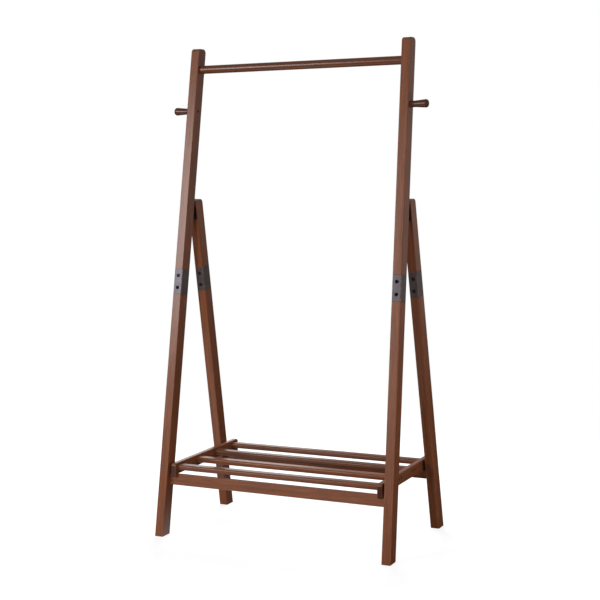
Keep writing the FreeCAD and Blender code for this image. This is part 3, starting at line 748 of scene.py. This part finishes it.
@dataclass(frozen=True)
class LeaningFrame:
    """The two posts or the two legs, each in two halves that meet inside a sleeve."""

    role: Role
    stance: Stance
    # Number of the first half; the other three follow
    seed: int
    edge_round: float = 2.5
    top_round: float = 14.0
    top_steps: int = 12
    leg_over_pin: float = 5.0
    post_sleeve_drop: float = 277.5
    leg_sleeve_drop: float = 275.0
    sleeve_length: float = 85.0
    sleeve_wall: float = 1.5
    sleeve_fit: float = 0.1
    sleeve_lip: float = 0.35
    shoulder_ease: float = 0.7
    foot_ease: float = 0.9
    ease_steps: int = 2
    screw_margin: float = 22.0
    screw: Screw = Screw(12.0, 4.0, 26.0, Drive.HEX, 2.3, 1.3, height=2.5, dome=1.8)

    @property
    def joint(self) -> float:
        """Height along the timber at which the halves meet."""
        drop = self.post_sleeve_drop if self.role is Role.FRONT else self.leg_sleeve_drop
        return self.stance.pin_station(self.role) - drop

    def build(self) -> None:
        """Builds the timbers, the sleeves and the sleeve screws."""
        body, word = self.role.body, self.role.value
        kind = "front_post" if self.role is Role.FRONT else "rear_leg"
        seeds = count(self.seed)
        places: list[Matrix] = []
        for side in Side:
            home = self.stance.timber(self.role, side)
            for half, piece in (("lower", self.lower(home)), ("upper", self.upper())):
                node = f"{kind}_{half}_{side.word}"
                piece.mark(next(seeds)).deliver(node, body, Slot.STAINED_WOOD, home)
            sleeve = self.sleeve().mark(0)
            sleeve.deliver(f"{word}_sleeve_{side.word}", body, Slot.BRONZE_SLEEVE, home)
            places += [home @ place for place in self.screw_places()]
        self.screw.drive_in(places).deliver(f"{word}_sleeve_screws", body, Slot.BLACK_SCREW)

    def lower(self, home: Matrix) -> Workpiece:
        """The half that stands on the floor, sawn level at the foot."""
        shoulder = self.joint - self.sleeve_length / 2
        depth = self.stance.depth
        piece = Workpiece.bar(self.stance.width, depth, -depth, self.edge_round)
        piece.extrude(shoulder - self.shoulder_ease + depth)
        self.tenon(piece)
        back = home.inverted()
        down = back.to_3x3() @ Vector((0.0, 0.0, -1.0))
        foot = piece.cut(back.translation, down)
        piece.bevel(foot.edges[:], self.foot_ease, self.ease_steps)
        return piece

    def tenon(self, piece: Workpiece) -> None:
        """Eases the shoulder at a half's end and adds the slimmer end inside the sleeve."""
        sign = 1 if piece.end.calc_center_median().z < self.joint else -1
        rebate = self.sleeve_wall + self.sleeve_fit
        piece.extrude(sign * self.shoulder_ease, self.shoulder_ease)
        piece.extrude(sign * SQUARE_STEP, rebate - self.shoulder_ease)
        piece.extrude(sign * (self.sleeve_length / 2 - SQUARE_STEP))

    def upper(self) -> Workpiece:
        """The upper half: a post has a level, rounded top, and a leg is rounded at the back."""
        front = self.role is Role.FRONT
        width, half_depth = self.stance.width, self.stance.depth / 2
        start = self.joint + self.sleeve_length / 2 + self.shoulder_ease
        leg_top = self.stance.pin_station(Role.REAR) + self.leg_over_pin
        top = self.stance.post_length if front else leg_top
        rise = half_depth * math.tan(math.radians(self.stance.front_lean)) if front else 0.0
        outline = (
            (-half_depth, start),
            (half_depth, start),
            (half_depth, top + rise),
            (-half_depth, top - rise),
        )
        piece = Workpiece.board(outline, width, -width / 2)
        crown = piece.sharp_edges(
            lambda edge: Workpiece.runs_across(edge)
            and all(
                vert.co.z > top - rise - NEAR and (front or vert.co.y > half_depth - NEAR)
                for vert in edge.verts
            )
        )
        for edge in crown:
            reach = self.top_round * math.tan(edge.calc_face_angle() / 2)
            piece.bevel([edge], reach, self.top_steps)
        rims = piece.sharp_edges(lambda edge: max(vert.co.z for vert in edge.verts) > start + NEAR)
        piece.bevel(rims, self.edge_round, Workpiece.round_steps)
        piece.end = min(piece.mesh.faces, key=lambda face: face.calc_center_median().z)
        self.tenon(piece)
        return piece

    def sleeve(self) -> Workpiece:
        """Folded steel tube, flush with the wood, with its ends eased."""
        bottom = self.joint - self.sleeve_length / 2
        piece = Workpiece.bar(self.stance.width, self.stance.depth, bottom, self.edge_round)
        base = piece.end
        piece.extrude(self.sleeve_length)
        bmesh.ops.delete(piece.mesh, geom=[base, piece.end], context="FACES_ONLY")
        piece.outward()
        bmesh.ops.solidify(piece.mesh, geom=piece.mesh.faces[:], thickness=self.sleeve_wall)
        rims = piece.sharp_edges(lambda edge: abs(edge.verts[0].co.z - edge.verts[1].co.z) < NEAR)
        piece.bevel(rims, self.sleeve_lip, self.ease_steps)
        return piece

    def screw_places(self) -> list[Matrix]:
        """Places of the sleeve screws on the front face, in the timber's axes."""
        reach = self.sleeve_length / 2 - self.screw_margin
        return [
            move(0.0, -self.stance.depth / 2, self.joint + step * reach) @ turn("X", 90.0)
            for step in (-1, 1)
        ]


@dataclass(frozen=True)
class TopBar:
    """The hanging rod between the posts and the turned peg on each post."""

    stance: Stance
    rod_below_top: float = 73.0
    rod_diameter: float = 28.0
    rod_socket_depth: float = 10.0
    rod_end_gap: float = 0.2
    rod_end_ease: float = 1.0
    rod_seed: int = 9
    peg_below_top: float = 216.8
    peg_length: float = 60.0
    peg_base: float = 22.5
    peg_waist: float = 20.0
    peg_waist_at: float = 10.0
    # How far the waist is rounded, as a share of its distance from the post
    waist_share: float = 0.8
    waist_steps: int = 6
    peg_tip: float = 26.8
    peg_tip_round: float = 9.0
    tip_steps: int = 8
    peg_seed: int = 10
    steps: int = 64
    # Turned pieces show end grain all round, which drinks more of the stain, the short pegs most
    rod_stain: float = 0.48
    peg_stain: float = 0.78
    screw: Screw = Screw(9.0, 4.5, 64.0, Drive.CROSS, 1.9, 1.6)

    def build(self) -> None:
        """Builds the rod, the pegs and the peg screws."""
        station = self.stance.post_length - self.rod_below_top
        half = self.stance.inner(Role.FRONT, station) + self.rod_socket_depth - self.rod_end_gap
        home = self.stance.plane(Role.FRONT) @ move(z=station) @ turn("Y", 90.0)
        rod = self.rod(half).mark(self.rod_seed, False, self.rod_stain)
        rod.deliver("hanging_rod", Body.FRONT, Slot.STAINED_WOOD, home)
        heads: list[Matrix] = []
        for side in Side:
            height = move(z=self.stance.post_length - self.peg_below_top)
            level = self.stance.timber(Role.FRONT, side) @ height
            reach = side.value * self.stance.width / 2
            seat = level @ move(reach) @ turn("Y", 90.0 * side.value)
            peg = self.peg().mark(self.peg_seed + side.value, False, self.peg_stain)
            peg.deliver(f"peg_{side.word}", Body.FRONT, Slot.STAINED_WOOD, seat)
            heads.append(level @ move(-reach) @ turn("Y", -90.0 * side.value))
        self.screw.drive_in(heads).deliver("peg_screws", Body.FRONT, Slot.DARK_SCREW)

    def rod(self, half: float) -> Workpiece:
        """Round bar with eased ends, which reaches half its length to either side."""
        radius, ease = self.rod_diameter / 2, self.rod_end_ease
        outline = (
            (0.0, -half),
            (radius - ease, -half),
            (radius, ease - half),
            (radius, half - ease),
            (radius - ease, half),
            (0.0, half),
        )
        return Workpiece.turned(outline, self.steps)

    def peg(self) -> Workpiece:
        """Peg that flares from a waist to a rounded tip."""
        outline = (
            (0.0, 0.0),
            (self.peg_base / 2, 0.0),
            (self.peg_waist / 2, self.peg_waist_at),
            (self.peg_tip / 2, self.peg_length - self.peg_tip_round),
            (self.peg_tip / 2, self.peg_length),
            (0.0, self.peg_length),
        )
        piece = Workpiece.turned(outline, self.steps)
        piece.bevel(piece.ring(self.peg_length), self.peg_tip_round, self.tip_steps)
        waist_round = self.peg_waist_at * self.waist_share
        piece.bevel(piece.ring(self.peg_waist_at), waist_round, self.waist_steps)
        return piece


@dataclass(frozen=True)
class LowRail:
    """A rail between two timbers, whose ends follow the timbers' inner faces."""

    role: Role
    stance: Stance
    station: float
    height: float
    seed: int
    thickness: float = 20.0
    inset: float = 3.5
    edge_round: float = 2.0

    def build(self) -> None:
        """Builds the rail and dresses the dowels in its ends."""
        half = self.stance.foot_spacing / 2
        piece = Workpiece.bar(self.height, self.thickness, -half, self.edge_round)
        piece.extrude(2 * half)
        middle = self.stance.depth / 2 - self.inset - self.thickness / 2
        lay = move(0.0, middle, self.station + self.height / 2) @ turn("Y", 90.0)
        back = lay.inverted()
        for side in Side:
            timber = self.stance.in_plane(self.role, side)
            face = timber @ Vector((-side.value * self.stance.width / 2, 0.0, 0.0))
            away = timber.to_3x3() @ Vector((side.value, 0.0, 0.0))
            piece.cut(back @ face, back.to_3x3() @ away)
        node = f"{self.role.value}_rail"
        home = self.stance.plane(self.role) @ lay
        piece.mark(self.seed).deliver(node, self.role.body, Slot.STAINED_WOOD, home)
        dress(f"{node}_dowels", Slot.PLAIN_WOOD)


@dataclass(frozen=True)
class Hinges:
    """The butt hinges behind the posts: leaves and pins keep their shape, screws are new."""

    stance: Stance
    leaf_width: float = 26.0
    leaf_length: float = 60.0
    leaf_thickness: float = 2.0
    screw_first: float = 18.0
    screw_end_margin: float = 10.0
    screw_side_margin: float = 7.0
    screw_count: int = 3
    screw: Screw = Screw(6.5, 3.5, 20.0, Drive.CROSS, 1.45, 1.2, proud=0.12)

    def build(self) -> None:
        """Dresses the leaves and the pins and builds the leaf screws."""
        for side in Side:
            for name in ("hinge_post_leaf", "hinge_leg_leaf", "hinge_pin"):
                dress(f"{name}_{side.word}", Slot.HINGE_STEEL)
        for role, node in ((Role.FRONT, "hinge_post_screws"), (Role.REAR, "hinge_leg_screws")):
            self.screw.drive_in(self.places(role)).deliver(node, role.body, Slot.DARK_SCREW)

    def places(self, role: Role) -> list[Matrix]:
        """Places of one frame's leaf screws in the rack."""
        back = 1 if role is Role.FRONT else -1
        first = self.stance.pin_station(role) - self.screw_first
        run = self.leaf_length - self.screw_end_margin - self.screw_first
        stagger = self.leaf_width / 2 - self.screw_side_margin
        return [
            self.stance.plane(role)
            @ move(
                side.value * self.stance.hinge_half + (-1) ** row * stagger,
                back * (self.stance.depth / 2 + self.leaf_thickness),
                first - row * run / (self.screw_count - 1),
            )
            @ turn("X", -90.0 * back)
            for side in Side
            for row in range(self.screw_count)
        ]


@dataclass(frozen=True)
class Shelf:
    """Two side rails that hook over the low rails, and the slats between them."""

    front: float = -208.26
    rear: float = 240.63
    front_hook: float = -197.26
    rear_hook: float = 211.63
    outer: float = 385.0
    thickness: float = 18.0
    top: float = 245.73
    bottom: float = 208.03
    lip_bottom: float = 198.03
    corner: float = 10.0
    corner_steps: int = 8
    edge_round: float = 2.5
    rail_seed: int = 15
    slat_width: float = 34.0
    slat_thickness: float = 18.0
    slat_round: float = 6.0
    slat_below_rail: float = 7.5
    slat_front_margin: float = 31.0
    slat_rear_margin: float = 36.0
    # No two slats took the stain alike, from the front to the back
    slat_stain: tuple[float, ...] = (0.28, 0.0, 0.55, 0.38)
    slat_seed: int = 20
    screw_margin: float = 6.5
    screw: Screw = Screw(8.0, 4.0, 50.0, Drive.CROSS, 1.7, 1.5)

    @property
    def inner(self) -> float:
        """Distance from the middle to a side rail's inner face."""
        return self.outer - self.thickness

    @property
    def slat_middle(self) -> float:
        """Height of the slats' middle."""
        return self.top - self.slat_below_rail - self.slat_thickness / 2

    def slat_y(self, number: int) -> float:
        """Middle line of a slat, counted from the front."""
        first, last = self.front + self.slat_front_margin, self.rear - self.slat_rear_margin
        return first + number * (last - first) / (len(self.slat_stain) - 1)

    def build(self) -> None:
        """Builds the side rails, the slats and the slat screws."""
        along = turn("X", 90.0)
        for side in Side:
            home = move(-self.outer if side is Side.LEFT else self.inner) @ along
            rail = self.side_rail()
            rail.mesh.transform(along.inverted())
            rail.mark(self.rail_seed + side.value)
            rail.deliver(f"shelf_side_rail_{side.word}", Body.SHELF, Slot.STAINED_WOOD, home)
            screws = self.screw.drive_in(self.screw_places(side))
            screws.deliver(f"slat_screws_{side.word}", Body.SHELF, Slot.DARK_SCREW)
        for number, stain in enumerate(self.slat_stain):
            home = move(0.0, self.slat_y(number), self.slat_middle) @ turn("Y", 90.0)
            slat = self.slat().mark(self.slat_seed + number, stain=stain)
            slat.deliver(f"shelf_slat_{number + 1}", Body.SHELF, Slot.STAINED_WOOD, home)

    def side_rail(self) -> Workpiece:
        """Side rail with a lip at each end, drawn in the rack's own y and z."""
        outline = (
            (self.front, self.lip_bottom),
            (self.front_hook, self.lip_bottom),
            (self.front_hook, self.bottom),
            (self.rear_hook, self.bottom),
            (self.rear_hook, self.lip_bottom),
            (self.rear, self.lip_bottom),
            (self.rear, self.top),
            (self.front, self.top),
        )
        piece = Workpiece.board(outline, self.thickness)
        ends = piece.sharp_edges(
            lambda edge: Workpiece.runs_across(edge)
            and min(vert.co.z for vert in edge.verts) > self.top - NEAR
        )
        piece.bevel(ends, self.corner, self.corner_steps)
        rims = piece.sharp_edges(lambda edge: not Workpiece.runs_across(edge))
        piece.bevel(rims, self.edge_round, Workpiece.round_steps)
        return piece

    def slat(self) -> Workpiece:
        """Slat with well rounded edges, butted between the side rails."""
        piece = Workpiece.bar(self.slat_thickness, self.slat_width, -self.inner, self.slat_round)
        return piece.extrude(2 * self.inner)

    def screw_places(self, side: Side) -> list[Matrix]:
        """Places of one side rail's screws, on its outer face."""
        spread_y = self.slat_width / 2 - self.screw_margin
        return [
            move(side.value * self.outer, self.slat_y(number) + step * spread_y, self.slat_middle)
            @ turn("Y", 90.0 * side.value)
            for number in range(len(self.slat_stain))
            for step in (-1, 1)
        ]


@dataclass(frozen=True)
class Lamp:
    """A soft box: a flat lamp that looks at a point. In metres and watts."""

    name: str
    place: Triple
    aim: Triple
    width: float
    height: float
    power: float
    # Whether gloss mirrors the lamp
    mirrored: bool = True

    def build(self) -> None:
        """Adds the lamp."""
        data = bpy.data.lights.new(self.name, "AREA")
        data.shape = "RECTANGLE"
        data.size = self.width
        data.size_y = self.height
        data.energy = self.power
        lamp = put(self.name, data)
        lamp.location = self.place
        lamp.visible_camera = False
        lamp.visible_glossy = self.mirrored
        view = Vector(self.aim) - Vector(self.place)
        lamp.rotation_euler = view.to_track_quat("-Z", "Y").to_euler()


@dataclass(frozen=True)
class Studio:
    """Camera, soft light, white world and a pale floor that keeps the shadow. In metres."""

    camera_place: Triple = (1.8836, -3.9423, 1.2383)
    yaw: float = 25.4393
    pitch: float = 5.7926
    roll: float = 0.7047
    lens: float = 78.215
    sensor: float = 36.0
    floor_radius: float = 14.0
    floor_steps: int = 96
    # What the world is to matt surfaces and to gloss; the camera sees it white
    world_light: float = 0.29
    world_gloss: float = 0.32
    # The floor as a light on the object, and as the camera sees it near the object and far off
    floor_shade: float = 0.35
    floor_gloss: float = 0.02
    floor_seen: float = 0.22
    floor_glow: float = 0.82
    floor_fade: Pair = (0.9, 2.4)
    # Gloss sees a round white card on the floor at the front left, and a pale backdrop far off;
    # each fades in between two distances
    card_place: Triple = (-0.7, -0.6, 0.0)
    card_fade: Pair = (0.95, 0.45)
    card_light: float = 0.9
    backdrop_fade: Pair = (2.6, 12.5)
    lamps: tuple[Lamp, ...] = (
        Lamp("key_softbox", (-1.85, -3.1, 1.85), (-0.2, 0.0, 0.9), 1.2, 1.22, 48.5),
        Lamp("low_softbox", (-1.2, -3.2, 0.85), (0.0, 0.0, 0.5), 1.7, 0.8, 5.5),
        Lamp("front_softbox", (0.41, -4.4, 0.9), (0.0, 0.0, 0.6), 0.36, 0.8, 98.0, False),
        Lamp("right_softbox", (1.9, 0.0, 0.6), (0.2, 0.0, 0.5), 0.6, 0.8, 10.8, False),
        Lamp("shelf_softbox", (-0.75, 1.6, 1.4), (0.0, 0.05, 0.24), 1.2, 1.2, 68.0, False),
        Lamp("back_left_softbox", (-1.98, 2.85, 1.05), (0.0, 0.0, 0.25), 1.3, 1.2, 5.8),
    )

    def build(self) -> None:
        """Sets up the whole studio."""
        bpy.context.scene.view_settings.view_transform = "Standard"
        self.camera()
        self.world()
        self.floor()
        for lamp in self.lamps:
            lamp.build()

    def camera(self) -> None:
        """Adds the camera at the viewing angle of the picture."""
        data = bpy.data.cameras.new("camera")
        data.lens = self.lens
        data.sensor_width = self.sensor
        camera = put("camera", data)
        camera.matrix_world = (
            move(*self.camera_place)
            @ turn("Z", self.yaw)
            @ turn("X", 90.0 - self.pitch)
            @ turn("Z", -self.roll)
        )
        bpy.context.scene.camera = camera

    def world(self) -> None:
        """Makes the world white to the camera, and softer as a light."""
        world = bpy.data.worlds.new("white_studio")
        bpy.context.scene.world = world
        tree = blank_tree(world)
        rays = add(tree, "ShaderNodeLightPath").outputs
        light = spread(tree, rays["Is Glossy Ray"], goals=(self.world_light, self.world_gloss))
        strength = reckon(tree, "MAXIMUM", light, rays["Is Camera Ray"])
        white = add(tree, "ShaderNodeBackground", {"Color": linear(WHITE), "Strength": strength})
        add(tree, "ShaderNodeOutputWorld", {"Surface": white.outputs[0]})

    def floor(self) -> None:
        """Adds a pale disc that the camera sees as white with a soft shadow."""
        data = settle(Workpiece.disc(self.floor_radius, self.floor_steps).mesh, "floor")
        data.materials.append(self.floor_material())
        floor = put("floor", data)

    def floor_material(self) -> Material:
        """Matt white card, which glows a little for the camera and holds what gloss mirrors."""
        material = bpy.data.materials.new("pale_floor")
        tree = blank_tree(material)
        rays = add(tree, "ShaderNodeLightPath").outputs
        seen, glossy = rays["Is Camera Ray"], rays["Is Glossy Ray"]
        place = add(tree, "ShaderNodeTexCoord").outputs["Object"]
        distances = [
            add(tree, "ShaderNodeVectorMath", {0: place, 1: middle}, operation="DISTANCE")
            for middle in ((0.0, 0.0, 0.0), self.card_place)
        ]
        away, off_card = (distance.outputs["Value"] for distance in distances)
        seen_shade = spread(tree, away, self.floor_fade, (self.floor_seen, 0.0))
        seen_glow = spread(tree, away, self.floor_fade, (self.floor_glow, 1.0))
        unseen_shade = spread(tree, glossy, goals=(self.floor_shade, self.floor_gloss))
        shade = spread(tree, seen, goals=(unseen_shade, seen_shade))
        card = spread(tree, off_card, self.card_fade, (0.0, self.card_light))
        backdrop = spread(tree, away, self.backdrop_fade, (0.0, self.world_gloss))
        mirrored = reckon(tree, "MULTIPLY", reckon(tree, "MAXIMUM", card, backdrop), glossy)
        glow = reckon(tree, "MULTIPLY_ADD", seen, seen_glow, mirrored)
        matt = add(tree, "ShaderNodeBsdfDiffuse", {"Color": shade})
        light = add(tree, "ShaderNodeEmission", {"Strength": glow})
        both = add(tree, "ShaderNodeAddShader", {0: matt.outputs[0], 1: light.outputs[0]})
        add(tree, "ShaderNodeOutputMaterial", {"Surface": both.outputs[0]})
        return material


def main() -> None:
    """Builds the studio and every sub-assembly in order."""
    logging.basicConfig(level=logging.INFO, format="%(name)s: %(message)s")
    stance = Stance()
    Studio().build()
    LeaningFrame(Role.FRONT, stance, seed=1).build()
    LeaningFrame(Role.REAR, stance, seed=5).build()
    TopBar(stance).build()
    LowRail(Role.FRONT, stance, station=172.8, height=38.0, seed=12).build()
    LowRail(Role.REAR, stance, station=176.064, height=32.0, seed=13).build()
    Hinges(stance).build()
    Shelf().build()


if __name__ == "__main__":
    main()
